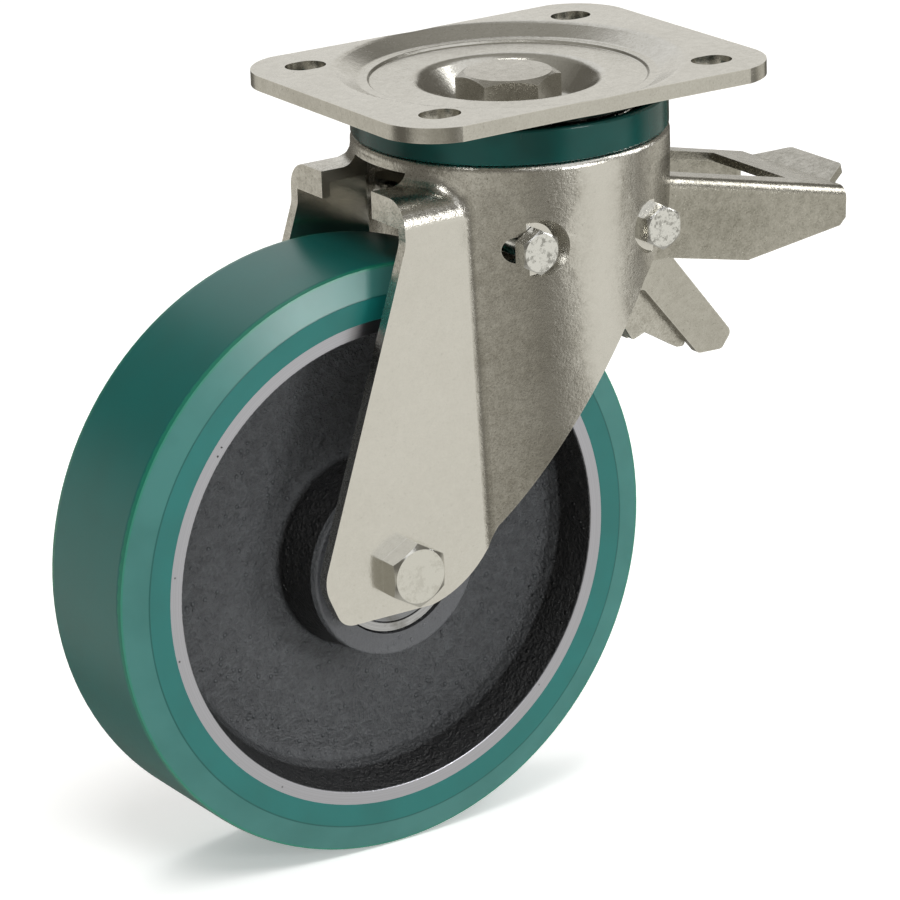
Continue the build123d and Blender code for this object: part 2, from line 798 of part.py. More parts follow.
def off_tread_plane(reach, degrees):
    """A plane that faces away from the braked wheel, at a distance outside its tread."""
    turn = math.radians(degrees)
    x, z = off_tread(reach, degrees)
    return Plane(origin=(x, 0, z), x_dir=(0, 1, 0), z_dir=(math.cos(turn), 0, math.sin(turn)))


def sheet_pair(outline_points, corner_radii, outer, thickness):
    """Two equal upright sheets, drawn in the XZ plane and set apart across the swivel axis."""
    with BuildPart() as pair:
        for side in (-1, 1):
            with BuildSketch(Plane.XZ.offset(-side * outer)):
                with BuildLine():
                    FilletPolyline(*outline_points, radius=corner_radii, close=True)
                make_face()
            extrude(amount=side * thickness)
    return pair.part


def folded_strip(start, end, thickness, width):
    """A flat strip between two points of the XZ plane, its thickness on the right of that line."""
    run = (Vector(*end) - Vector(*start)).normalized()
    inward = run.rotate(Axis.Z, -90) * thickness
    with BuildPart() as strip:
        with BuildSketch(Plane.XZ):
            with BuildLine():
                Polyline(Vector(*start), Vector(*end), Vector(*end) + inward, Vector(*start) + inward, close=True)
            make_face()
        extrude(amount=width / 2, both=True)
    return strip.part


with BuildPart() as brake_carriage:
    lever_tip_reach = lever_reach + lever_rise
    lever_top = off_tread(lever_reach, lever_start_angle)
    lever_tip = off_tread(lever_tip_reach, lever_end_angle)
    lever_end = off_tread(lever_tip_reach - lever_corner_cut, lever_end_angle - 1.5)
    lever_heel = off_tread(lever_tip_reach - lever_width, lever_end_angle)
    lever_root = off_tread(lever_reach - lever_width, lever_start_angle)
    pin_lug = off_tread(shoe_pin_reach, shoe_pin_angle)
    carriage_outline = [
        (guide_bolt_x - guide_eye_radius, carriage_top_z),
        (carriage_ear_x - carriage_sheet, carriage_top_z),
        (carriage_ear_x, carriage_ear_top_z),
        (carriage_back_x, carriage_ear_top_z),
        (carriage_back_x, pivot_z - guide_eye_radius),
        lever_top,
        lever_tip,
        lever_end,
        lever_heel,
        lever_root,
        (pin_lug[0] - shoe_lug_margin / 2, pin_lug[1] - shoe_lug_margin),
        (pin_lug[0] - shoe_lug_margin * 2, pin_lug[1]),
        (guide_bolt_x + guide_eye_radius, guide_bolt_z - guide_eye_radius),
        (guide_bolt_x - guide_eye_radius, guide_bolt_z - guide_eye_radius),
    ]
    carriage_radii = [5.0, 1.0, 1.0, 2.0, 2.0, 2.0, lever_corner, 2.0, lever_corner, 2.0, 3.0, 3.0, 3.0, 5.0]
    add(sheet_pair(carriage_outline, carriage_radii, carriage_half, carriage_sheet))
    # back web along the lever, with the release tab bent out of it
    lever_run = (Vector(*lever_tip) - Vector(*lever_top)).normalized()
    web_start = Vector(*lever_top) + lever_run * lever_corner
    web_end = Vector(*lever_tip) - lever_run * lever_corner
    add(folded_strip((web_start.X, web_start.Y), (web_end.X, web_end.Y), carriage_sheet, 2 * carriage_inner))
    tab_root = web_end - lever_run * carriage_sheet + lever_run.rotate(Axis.Z, -90) * (carriage_sheet / 2)
    tab_end = tab_root + Vector(1, 0).rotate(Axis.Z, -release_tab_angle) * release_tab_length
    add(folded_strip((tab_root.X, tab_root.Y), (tab_end.X, tab_end.Y), carriage_sheet, release_tab_width))
    # cam web between the two sheets, pushed by the cam pin
    with BuildSketch(Plane.XY.offset(cam_z - cam_eye_radius)):
        with Locations((cam_face_x - carriage_sheet / 2, 0)):
            Rectangle(carriage_sheet, 2 * carriage_inner)
    extrude(amount=2 * cam_eye_radius - carriage_sheet)
    shoe_pin_place = off_tread(shoe_pin_reach, shoe_pin_angle)
    with BuildSketch(Plane.XZ):
        with Locations((pivot_x + carriage_travel / 2, pivot_z)):
            SlotCenterToCenter(carriage_travel, 2 * (pivot_sleeve_radius + slot_play))
        with Locations((guide_bolt_x, guide_bolt_z)):
            Circle(small_bolt_radius + running)
        with Locations((cam_x, cam_z + cam_rise / 2)):
            Circle(cam_pin_radius + cam_rise / 2 + 2 * seat_gap)
        with Locations(shoe_pin_place):
            Circle(shoe_pin_radius + running)
    extrude(amount=carriage_half, both=True, mode=Mode.SUBTRACT)

# Shoe bracket: two cheeks inside the carriage, joined by the web that holds the adjuster.
with BuildPart() as shoe_bracket:
    bracket_outline = [
        off_tread(shoe_pin_reach - shoe_lug_margin / 2, shoe_pin_angle + 3),
        off_tread(bracket_reach, bracket_start_angle),
        off_tread(bracket_shoulder, adjuster_angle),
        off_tread(bracket_reach + bracket_rise, bracket_end_angle),
        off_tread(bracket_reach + bracket_rise - bracket_depth, bracket_end_angle + 1),
        off_tread(adjuster_web_reach + bracket_sheet / 2, adjuster_angle - 3),
        off_tread(adjuster_web_reach - bracket_sheet, adjuster_angle - 2.6),
        off_tread(adjuster_web_reach - bracket_sheet, adjuster_angle + 3),
        off_tread(shoe_pin_reach - shoe_lug_margin, shoe_pin_angle - 1),
    ]
    bracket_radii = [2.0, 3.0, 3.0, 1.5, 1.5, 1.0, 1.0, 3.0, 3.0]
    add(sheet_pair(bracket_outline, bracket_radii, carriage_inner, bracket_sheet))
    with BuildSketch(off_tread_plane(adjuster_web_reach - bracket_sheet, adjuster_angle)):
        Rectangle(2 * carriage_inner - 2 * bracket_sheet, adjuster_web_width)
    extrude(amount=bracket_sheet)
    with BuildSketch(off_tread_plane(adjuster_web_reach, adjuster_angle)):
        Circle(adjuster_radius + running)
    extrude(amount=-2 * bracket_sheet, mode=Mode.SUBTRACT)
    with BuildSketch(Plane.XZ):
        with Locations(shoe_pin_place):
            Circle(shoe_pin_radius + running)
    extrude(amount=carriage_half, both=True, mode=Mode.SUBTRACT)

# Brake shoe: a curved plate that follows the tread, hung on a pin by two ears.
with BuildPart() as brake_shoe:
    shoe_sweep = shoe_end_angle - shoe_start_angle
    with BuildSketch(Plane.XZ):
        with BuildLine():
            inner_arc = CenterArc(braked_centre, shoe_inner_radius, shoe_start_angle, shoe_sweep)
            outer_arc = CenterArc(braked_centre, shoe_outer_radius, shoe_start_angle, shoe_sweep)
            Line(inner_arc @ 0, outer_arc @ 0)
            Line(inner_arc @ 1, outer_arc @ 1)
        make_face()
    extrude(amount=shoe_width / 2, both=True)
    ear_foot = seat_gap + shoe_plate / 2
    ear_outline = [
        off_tread(ear_foot, shoe_start_angle + 2),
        off_tread(shoe_pin_reach, shoe_pin_angle - 3),
        off_tread(shoe_pin_reach + shoe_ear_radius, shoe_pin_angle),
        off_tread(shoe_pin_reach, shoe_pin_angle + 3),
        off_tread(ear_foot, shoe_end_angle - 8),
    ]
    ear_outer = carriage_inner - bracket_sheet - seat_gap
    add(sheet_pair(ear_outline, [0.5, 2.0, 3.0, 2.0, 0.5], ear_outer, shoe_plate))
    with BuildSketch(Plane.XZ):
        with Locations(shoe_pin_place):
            Circle(shoe_pin_radius + running)
    extrude(amount=carriage_half, both=True, mode=Mode.SUBTRACT)

pieces["shoe_pin"] = pin(
    side_plane(shoe_pin_place[0], -carriage_half, shoe_pin_place[1], 1), shoe_pin_radius, carriage_width
)

# Adjuster: a hex screw through the bracket's web that sets the shoe's gap, with its lock nut.
adjuster_seat = off_tread_plane(adjuster_web_reach + adjuster_nut_height, adjuster_angle)
adjuster_length = adjuster_web_reach + adjuster_nut_height - seat_gap - shoe_plate - running
pieces["adjuster_screw"] = hex_bolt(
    adjuster_seat, adjuster_across_flats, adjuster_head_height, adjuster_radius, adjuster_length
)
pieces["adjuster_nut"] = hex_nut(
    off_tread_plane(adjuster_web_reach, adjuster_angle), adjuster_across_flats, adjuster_nut_height, adjuster_radius
)

# Swivel pawl: a plate between the carriage's ears, with one tooth for the lock ring.
with BuildPart() as lock_pawl:
    tooth_tip_x = lock_ring_radius - pawl_engagement + carriage_travel
    tooth_root_x = tooth_tip_x + lock_tooth_depth
    tooth_half = lock_ring_radius * notch_half * 0.6
    with BuildSketch(Plane.XY.offset(lock_ring_under_z + seat_gap)):
        with BuildLine():
            Polyline(
                (tooth_tip_x, -tooth_half / 2),
                (tooth_root_x, -tooth_half),
                (tooth_root_x, -carriage_inner),
                (carriage_back_x - 2, -carriage_inner),
                (carriage_back_x - 2, carriage_inner),
                (tooth_root_x, carriage_inner),
                (tooth_root_x, tooth_half),
                (tooth_tip_x, tooth_half / 2),
                close=True,
            )
        make_face()
    extrude(amount=pawl_thickness)

# Guide bolt and nut: they slide with the carriage along the fork's slots.
near_guide = side_plane(guide_bolt_x, -bolt_seat_face - seat_gap, guide_bolt_z, -1)
far_guide = side_plane(guide_bolt_x, bolt_seat_face + seat_gap, guide_bolt_z, 1)
pieces["guide_bolt"] = hex_bolt(
    near_guide, small_across_flats, small_head_height, small_bolt_radius, small_reach + 2 * seat_gap
)
pieces["guide_nut"] = hex_nut(far_guide, small_across_flats, small_nut_height, small_bolt_radius)


pieces.update(
    top_plate=top_plate.part, kingpin_bolt=kingpin_bolt.part, kingpin_spacer=kingpin_spacer.part,
    lower_race=lower_race.part, swivel_lock_ring=swivel_lock_ring.part, kingpin_nut=kingpin_nut.part,
    dust_seal=dust_seal.part, upper_balls=upper_balls.part, lower_balls=lower_balls.part, fork=fork.part,
    wheel_core=wheel_core.part, tyre=tyre.part, brake_pedal=brake_pedal.part, brake_carriage=brake_carriage.part,
    shoe_bracket=shoe_bracket.part, brake_shoe=brake_shoe.part, lock_pawl=lock_pawl.part,
)
for name, piece in pieces.items():
    piece.label = name
    export_step(piece, f"parts/{name}.step")
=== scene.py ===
"""Looks for the swivel castor: plated steel fork and plate, iron wheel, moulded tyre, foot brake.

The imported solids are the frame. This script gives every node a procedural material, adds the
small surface pieces that the solids leave out, and sets the light and the camera of the photo.
Lengths are in metres; pattern sizes are given in millimetres and converted once.
"""
import logging
import math
from dataclasses import dataclass
from enum import Enum
from typing import Sequence, Union

import bpy
from mathutils import Matrix, Vector


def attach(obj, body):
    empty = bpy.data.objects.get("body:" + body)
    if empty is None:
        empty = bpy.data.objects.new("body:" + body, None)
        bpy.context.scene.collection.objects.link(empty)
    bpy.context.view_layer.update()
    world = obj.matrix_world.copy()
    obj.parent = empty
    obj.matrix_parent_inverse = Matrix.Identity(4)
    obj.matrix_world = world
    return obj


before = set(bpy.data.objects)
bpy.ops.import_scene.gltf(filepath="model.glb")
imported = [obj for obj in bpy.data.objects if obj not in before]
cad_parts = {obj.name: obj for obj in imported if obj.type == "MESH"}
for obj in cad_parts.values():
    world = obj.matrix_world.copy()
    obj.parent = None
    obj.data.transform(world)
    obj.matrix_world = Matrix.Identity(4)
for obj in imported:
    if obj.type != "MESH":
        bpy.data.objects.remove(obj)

Socket = bpy.types.NodeSocket
Value = Union[float, Sequence[float], Socket]

log = logging.getLogger("castor")

MM = 0.001
AXLE = Vector((-0.067, 0.0, -0.150))
FLOOR_Z = -0.24945
WHITE = "#ffffff"
SRGB_KNEE = 0.04045
FLOOR_HALF = 6.0

# A thread's ridge, as shares of its pitch: how far its middle is sunk, and its own radius.
SUNK_SHARE = 0.22
RIDGE_SHARE = 0.36


class Body(Enum):
    """The moving bodies of the castor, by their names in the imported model."""

    PLATE = "plate"
    FORK = "fork"
    WHEEL = "wheel"
    PEDAL = "pedal"
    CARRIAGE = "carriage"


def linear(colour: str) -> tuple[float, float, float, float]:
    """Turn an sRGB hex colour into linear light.

    Args:
        colour: The colour as "#rrggbb".

    Returns:
        Linear red, green, blue and an alpha of 1.
    """
    parts = (int(colour[i:i + 2], 16) / 255 for i in (1, 3, 5))
    red, green, blue = (c / 12.92 if c <= SRGB_KNEE else ((c + 0.055) / 1.055) ** 2.4 for c in parts)
    return red, green, blue, 1.0


def grey(level: float) -> tuple[float, float, float, float]:
    """A linear grey of this level, for mixing plain values as colours."""
    return level, level, level, 1.0


def add_node(
    tree: bpy.types.NodeTree, kind: str, values: dict | None = None, **settings
) -> bpy.types.Node:
    """Add one node to a tree, with its settings and its inputs.

    Args:
        tree: The shader or geometry tree.
        kind: The node's type name.
        values: Input name or index to a plain value, or to a socket that feeds it.
        settings: Attributes of the node, such as its operation.

    Returns:
        The new node.
    """
    node = tree.nodes.new(kind)
    for key, value in settings.items():
        setattr(node, key, value)
    for key, value in (values or {}).items():
        if isinstance(value, bpy.types.NodeSocket):
            tree.links.new(value, node.inputs[key])
        else:
            node.inputs[key].default_value = value
    return node


class Graph:
    """A material's shader graph, with short calls for the patterns that the finishes share."""

    def __init__(self, name: str) -> None:
        self.material = bpy.data.materials.new(name)
        self.material.use_nodes = True
        self.tree = self.material.node_tree
        self.tree.nodes.clear()
        self.place = self.add("ShaderNodeTexCoord").outputs["Object"]

    def add(self, kind: str, values: dict | None = None, **settings) -> bpy.types.Node:
        """Add one node to this material."""
        return add_node(self.tree, kind, values, **settings)

    def math(self, operation: str, first: Value, second: Value = 0.0, clamp: bool = False) -> Socket:
        """One arithmetic step."""
        values = {0: first, 1: second}
        return self.add("ShaderNodeMath", values, operation=operation, use_clamp=clamp).outputs[0]

    def noise(
        self, size_mm: float, detail: float = 3.0, vector: Value | None = None, rough: float = 0.5
    ) -> Socket:
        """Cloudy noise whose largest blobs are about size_mm across.

        Args:
            size_mm: The real size of the pattern.
            detail: Octaves of finer noise.
            vector: Where it is read; the object's own place if left out.
            rough: How strong the finer octaves are.

        Returns:
            A socket from 0 to 1.
        """
        inputs = {
            "Vector": vector or self.place, "Scale": 1 / (size_mm * MM), "Detail": detail, "Roughness": rough,
        }
        return self.add("ShaderNodeTexNoise", inputs).outputs["Fac"]

    def pits(self, size_mm: float, share: float) -> Socket:
        """Small round spots, 1 in a spot and 0 elsewhere, with about this share of cells filled."""
        inputs = {"Vector": self.place, "Scale": 1 / (size_mm * MM)}
        cells = self.add("ShaderNodeTexVoronoi", inputs)
        spot = self.span(cells.outputs["Distance"], 0.16, 0.34, 1.0, 0.0)
        chosen = self.math("LESS_THAN", self.split(cells.outputs["Color"])[0], share)
        return self.math("MULTIPLY", spot, chosen)

    def scratches(self, size_mm: float, stretch: Sequence[float]) -> Socket:
        """Long thin streaks: noise read through a stretched place."""
        inputs = {"Vector": self.place, "Scale": tuple(stretch)}
        moved = self.add("ShaderNodeMapping", inputs).outputs["Vector"]
        return self.noise(size_mm, 2.0, moved)

    def span(self, fac: Value, low: float, high: float, start: float, end: float) -> Socket:
        """Map low..high to start..end, held at both ends."""
        inputs = {"Value": fac, "From Min": low, "From Max": high, "To Min": start, "To Max": end}
        return self.add("ShaderNodeMapRange", inputs).outputs["Result"]

    def mix(self, fac: Value, first: Value | str, second: Value | str, blend: str = "MIX") -> Socket:
        """Mix two colours, given as hex words or sockets."""
        first, second = (linear(c) if isinstance(c, str) else c for c in (first, second))
        node = self.add("ShaderNodeMix", data_type="RGBA", blend_type=blend)
        for index, value in ((0, fac), (6, first), (7, second)):
            if isinstance(value, bpy.types.NodeSocket):
                self.tree.links.new(value, node.inputs[index])
            else:
                node.inputs[index].default_value = value
        return node.outputs[2]

    def split(self, vector: Socket) -> bpy.types.NodeOutputs:
        """The three parts of a vector or colour."""
        return self.add("ShaderNodeSeparateXYZ", {0: vector}).outputs

    def radius(self, centre: Vector, axis: str) -> Socket:
        """Distance from a line along the Y or Z axis through a centre, in millimetres."""
        offset = self.add("ShaderNodeVectorMath", {0: self.place, 1: centre}, operation="SUBTRACT")
        parts = self.split(offset.outputs[0])
        first, second = (parts[0], parts[2]) if axis == "Y" else (parts[0], parts[1])
        squares = self.math("ADD", self.math("POWER", first, 2.0), self.math("POWER", second, 2.0))
        return self.math("MULTIPLY", self.math("SQRT", squares), 1 / MM)

    def rings(self, radius: Socket) -> Socket:
        """A place that changes only with a radius in millimetres, so that noise read there makes rings."""
        return self.add("ShaderNodeCombineXYZ", {0: self.math("MULTIPLY", radius, MM)}).outputs[0]

    def facing(self, axis: int) -> Socket:
        """How squarely the surface faces along X, Y or Z of the object, from 0 to 1."""
        normal = self.add("ShaderNodeNewGeometry").outputs["Normal"]
        spaces = dict(vector_type="NORMAL", convert_from="WORLD", convert_to="OBJECT")
        local = self.add("ShaderNodeVectorTransform", {0: normal}, **spaces).outputs[0]
        return self.math("ABSOLUTE", self.split(local)[axis])

    def edges(self, size_mm: float) -> Socket:
        """1 along sharp edges within size_mm, and 0 on open faces."""
        rounded = self.add("ShaderNodeBevel", {"Radius": size_mm * MM}, samples=4).outputs[0]
        normal = self.add("ShaderNodeNewGeometry").outputs["Normal"]
        same = self.add("ShaderNodeVectorMath", {0: rounded, 1: normal}, operation="DOT_PRODUCT")
        return self.span(same.outputs["Value"], 0.80, 0.995, 1.0, 0.0)

    def bump(self, height: Value, depth_mm: float, under: Socket | None = None) -> Socket:
        """A bump of this real depth, on top of another bump's normal where one is given."""
        inputs = {"Height": height, "Distance": depth_mm * MM, "Strength": 1.0}
        if under is not None:
            inputs["Normal"] = under
        return self.add("ShaderNodeBump", inputs).outputs[0]

    def finish(self, **inputs: Value) -> bpy.types.Material:
        """Close the graph with one principled shader. Names use underscores for spaces."""
        named = {key.replace("_", " "): value for key, value in inputs.items()}
        shader = self.add("ShaderNodeBsdfPrincipled", named)
        self.add("ShaderNodeOutputMaterial", {"Surface": shader.outputs[0]})
        return self.material


@dataclass(frozen=True)
class PlatedSteel:
    """Pressed sheet steel with a thin satin nickel-like plating: warm, mottled, brighter on worn edges."""

    name: str
    light: str = "#dcdad3"
    dark: str = "#a6a298"
    fleck: str = "#6e6a5e"
    edge: str = "#eceae3"
    mottle_mm: float = 3.0
    grain_mm: float = 0.7
    cloud_mm: float = 26.0
    mottle: float = 0.55
    roughness: tuple[float, float] = (0.16, 0.34)
    relief: float = 1.0
    calm_side: bool = False

    def build(self) -> bpy.types.Material:
        """Build the plating; calm_side makes the faces square to the axle plainer, as the fork's legs are."""
        g = Graph(self.name)
        mottle = g.span(g.noise(self.mottle_mm, 5.0, rough=0.65), 0.36, 0.66, 0.0, 1.0)
        grain = g.span(g.noise(self.grain_mm, 3.0, rough=0.6), 0.34, 0.66, 0.0, 1.0)
        cloud = g.span(g.noise(self.cloud_mm, 3.0), 0.35, 0.65, 0.0, 1.0)
        mixed = g.math("ADD", g.math("MULTIPLY", mottle, 0.5), g.math("MULTIPLY", grain, 0.5))
        amount: Value = self.mottle
        if self.calm_side:
            amount = g.span(g.facing(1), 0.985, 0.9995, self.mottle, self.mottle * 0.2)
        shade = g.math("ADD", g.math("MULTIPLY", mixed, 0.8), g.math("MULTIPLY", cloud, 0.35))
        shade = g.math("MULTIPLY", shade, amount, clamp=True)
        colour = g.mix(shade, self.light, self.dark)
        flecks = g.span(g.noise(self.grain_mm * 1.4, 4.0, rough=0.7), 0.60, 0.70, 0.0, 0.75)
        colour = g.mix(g.math("MULTIPLY", flecks, amount), colour, self.fleck)
        wear = g.edges(0.7)
        colour = g.mix(g.math("MULTIPLY", wear, 0.45), colour, self.edge)
        streak = g.scratches(0.5, (0.05, 1.0, 1.0))
        rough = g.span(g.math("MULTIPLY", mixed, amount), 0.0, 0.8, *self.roughness)
        rough = g.math("ADD", rough, g.span(streak, 0.3, 0.7, -0.03, 0.03))
        normal = g.bump(g.math("MULTIPLY", grain, amount), 0.030 * self.relief)
        normal = g.bump(g.math("MULTIPLY", mottle, amount), 0.060 * self.relief, normal)
        normal = g.bump(cloud, 0.05, normal)
        return g.finish(Base_Color=colour, Metallic=1.0, Roughness=rough, Normal=normal)


@dataclass(frozen=True)
class BrightZinc:
    """Bright zinc-plated bolt steel, its heads worn and dented where a spanner and a hammer met them."""

    name: str
    light: str = "#e6e6e3"
    dark: str = "#8d8c87"
    spot_mm: float = 2.2
    worn: float = 0.8
    roughness: tuple[float, float] = (0.14, 0.30)

    def build(self) -> bpy.types.Material:
        """Build the zinc: hard-edged patches of duller metal over bright metal, with dented heads."""
        g = Graph(self.name)
        patch = g.span(g.noise(self.spot_mm, 5.0, rough=0.72), 0.50, 0.60, 0.0, 1.0)
        ends = g.span(g.facing(1), 0.9, 0.98, 0.25, 1.0)
        shade = g.math("MULTIPLY", patch, g.math("MULTIPLY", ends, self.worn))
        colour = g.mix(shade, self.light, self.dark)
        colour = g.mix(g.edges(0.5), colour, "#f2f2f0")
        rough = g.span(shade, 0.0, 1.0, *self.roughness)
        normal = g.bump(g.noise(1.1, 4.0, rough=0.65), 0.05 * self.worn)
        normal = g.bump(patch, -0.03 * self.worn, normal)
        return g.finish(Base_Color=colour, Metallic=1.0, Roughness=rough, Normal=normal)


@dataclass(frozen=True)
class TurnedSteel:
    """Machined or ground steel with turning lines about the axle or the swivel axis."""

    name: str
    colour: str = "#a9a9a8"
    dark: str = "#77777a"
    pitch_mm: float = 0.25
    roughness: float = 0.24
    centre: tuple[float, float, float] = tuple(AXLE)
    axis: str = "Y"

    def build(self) -> bpy.types.Material:
        """Build the turned finish from rings of noise about its own axis."""
        g = Graph(self.name)
        radius = g.radius(Vector(self.centre), self.axis)
        along = g.split(g.place)[1 if self.axis == "Y" else 2]
        lines = g.add("ShaderNodeCombineXYZ", {0: g.math("MULTIPLY", radius, MM), 1: along}).outputs[0]
        turned = g.noise(self.pitch_mm, 2.0, lines)
        stain = g.noise(6.0, 4.0)
        colour = g.mix(g.span(turned, 0.35, 0.65, 0.0, 0.6), self.colour, self.dark)
        colour = g.mix(g.span(stain, 0.55, 0.75, 0.0, 0.5), colour, "#6d6a62")
        rough = g.span(stain, 0.3, 0.7, self.roughness * 0.8, self.roughness * 1.4)
        normal = g.bump(turned, 0.008)
        return g.finish(Base_Color=colour, Metallic=1.0, Roughness=rough, Normal=normal)


@dataclass(frozen=True)
class PolishedSteel:
    """Bearing balls: hardened steel, polished, with a thin film of grease."""

    name: str

    def build(self) -> bpy.types.Material:
        """Build the polish with faint smears of grease."""
        g = Graph(self.name)
        smear = g.noise(3.0, 3.0)
        colour = g.mix(g.span(smear, 0.45, 0.65, 0.0, 0.6), "#d6d7d9", "#8d8a80")
        rough = g.span(smear, 0.4, 0.7, 0.06, 0.22)
        return g.finish(Base_Color=colour, Metallic=1.0, Roughness=rough)


@dataclass(frozen=True)
class CastIron:
    """Sand-cast grey iron under thin dark paint, with a bare machined ring at the rim's face."""

    name: str
    paint: str = "#494b4e"
    worn: str = "#66696c"
    hub: str = "#5a5c60"
    bare: str = "#c6c7d0"
    ring_mm: float = 77.6
    face_mm: float = 24.9
    hub_face_mm: float = 27.2
    hub_reach_mm: float = 31.0

    def build(self) -> bpy.types.Material:
        """Build the casting's grain and the turned ring from the distance to the axle, with painted shade on
        the recess walls.
        """
        g = Graph(self.name)
        radius = g.radius(AXLE, "Y")
        across = g.math("MULTIPLY", g.math("ABSOLUTE", g.split(g.place)[1]), 1 / MM)
        coarse = g.noise(3.4, 5.0, rough=0.62)
        sand = g.noise(1.1, 3.0, rough=0.6)
        lumps = g.pits(2.3, 0.22)
        at_face = g.math("GREATER_THAN", across, self.face_mm)
        flat = g.math("MULTIPLY", at_face, g.math("GREATER_THAN", radius, self.ring_mm))
        at_hub = g.math("GREATER_THAN", across, self.hub_face_mm)
        hub = g.math("MULTIPLY", at_hub, g.math("LESS_THAN", radius, self.hub_reach_mm))
        height = g.math("ADD", g.math("MULTIPLY", coarse, 0.6), g.math("MULTIPLY", sand, 0.4))
        height = g.math("ADD", height, g.math("MULTIPLY", lumps, 0.35))
        grain = g.span(height, 0.40, 0.85, 0.0, 1.0)
        paint = g.mix(grain, self.paint, self.worn)
        paint = g.mix(g.math("MULTIPLY", g.edges(1.2), 0.4), paint, "#6c6e71")
        paint = g.mix(g.math("MULTIPLY", hub, 0.8), paint, self.hub)
        # Painted shade: faces that turn sideways inside the rim's face, the rim's inner wall and the hub's
        # side, are painted almost black as if in shadow.
        sideways = g.span(g.facing(1), 0.25, 0.65, 1.0, 0.0)
        painted_recess_shade = g.math("MULTIPLY", sideways, g.math("LESS_THAN", across, self.face_mm))
        paint = g.mix(g.math("MULTIPLY", painted_recess_shade, 0.95), paint, "#050506")
        lines = g.noise(0.35, 2.0, g.rings(radius))
        holes = g.pits(1.6, 0.02)
        metal = g.mix(g.span(lines, 0.3, 0.7, 0.0, 0.5), self.bare, "#8f8e92")
        metal = g.mix(holes, metal, "#3a3a3b")
        colour = g.mix(flat, paint, metal)
        rough = g.mix(flat, g.mix(grain, grey(0.40), grey(0.30)), grey(0.30))
        painted = g.math("SUBTRACT", 1.0, flat)
        depth = g.math("MULTIPLY", height, g.math("MULTIPLY", painted, g.span(hub, 0.0, 1.0, 1.0, 0.35)))
        normal = g.bump(depth, 2.8)
        normal = g.bump(g.math("MULTIPLY", lines, flat), 0.015, normal)
        return g.finish(Base_Color=colour, Metallic=flat, Roughness=rough, Normal=normal)


@dataclass(frozen=True)
class Polyurethane:
    """Moulded polyurethane tyre: satin teal, with painted sheen on the shoulder, a painted highlight line at
    the tread's edge and a painted shade line at the step.
    """

    name: str
    tread: str = "#095c57"
    side: str = "#126965"
    painted_sheen: str = "#648f89"
    # Colour of the painted highlight along the tread's edge.
    line: str = "#1d8060"
    edge_mm: float = 98.7
    step_mm: float = 90.0

    def build(self) -> bpy.types.Material:
        """Build the tyre's zones from the distance to the axle, each with its own roughness; the shoulder's
        sheen and the two fine lines are painted light and shade.
        """
        g = Graph(self.name)
        radius = g.radius(AXLE, "Y")
        across = g.math("MULTIPLY", g.math("ABSOLUTE", g.split(g.place)[1]), 1 / MM)
        cloud = g.noise(18.0, 3.0)
        fine = g.noise(1.2, 3.0)
        side = g.math("GREATER_THAN", across, 22.2)
        colour = g.mix(side, self.tread, self.side)
        # Painted sheen: the shoulder band outside the step is mixed towards pale grey-green, as if it caught a
        # soft reflection of a lamp.
        bevel = g.math("MULTIPLY", side, g.span(radius, self.step_mm, self.step_mm + 0.4, 0.0, 1.0))
        colour = g.mix(g.math("MULTIPLY", bevel, 0.38), colour, self.painted_sheen)
        colour = g.mix(g.span(cloud, 0.4, 0.7, 0.0, 0.25), colour, "#17504a")
        # Painted highlight: a brighter green line along the tread's edge, where the rounded corner catches the
        # light.
        line = g.math("COMPARE", radius, self.edge_mm)
        line.node.inputs[2].default_value = 0.45
        colour = g.mix(g.math("MULTIPLY", line, 0.55), colour, self.line)
        # Painted shade: a darker line along the step in the side's profile, where the crease lies in shade.
        step = g.math("COMPARE", radius, self.step_mm)
        step.node.inputs[2].default_value = 0.25
        colour = g.mix(g.math("MULTIPLY", g.math("MULTIPLY", step, side), 0.6), colour, "#154a44")
        rings = g.noise(0.8, 2.0, g.rings(radius))
        rough = g.math("ADD", g.span(fine, 0.3, 0.7, 0.32, 0.345), g.math("MULTIPLY", side, -0.04))
        normal = g.bump(g.math("MULTIPLY", rings, side), 0.010)
        normal = g.bump(fine, 0.002, normal)
        depth = dict(Subsurface_Weight=0.04, Subsurface_Scale=0.002)
        return g.finish(Base_Color=colour, Roughness=rough, Normal=normal, **depth)


@dataclass(frozen=True)
class GlossPlastic:
    """Moulded glossy thermoplastic of the dust seal, dark teal with fine handling marks."""

    name: str
    colour: str = "#03433f"
    dark: str = "#033632"
    shine: float = 0.35

    def build(self) -> bpy.types.Material:
        """Build the gloss with faint cloudy flow marks and a few scuffs."""
        g = Graph(self.name)
        flow = g.noise(22.0, 2.0)
        scuff = g.span(g.scratches(1.2, (1.0, 1.0, 0.3)), 0.66, 0.72, 0.0, 1.0)
        colour = g.mix(g.span(flow, 0.35, 0.65, 0.0, 1.0), self.colour, self.dark)
        rough = g.math("ADD", g.span(flow, 0.3, 0.7, 0.13, 0.18), g.math("MULTIPLY", scuff, 0.10))
        normal = g.bump(flow, 0.02)
        return g.finish(Base_Color=colour, Roughness=rough, Normal=normal, Specular_IOR_Level=self.shine)


Finish = Union[PlatedSteel, BrightZinc, TurnedSteel, PolishedSteel, CastIron, Polyurethane, GlossPlastic]


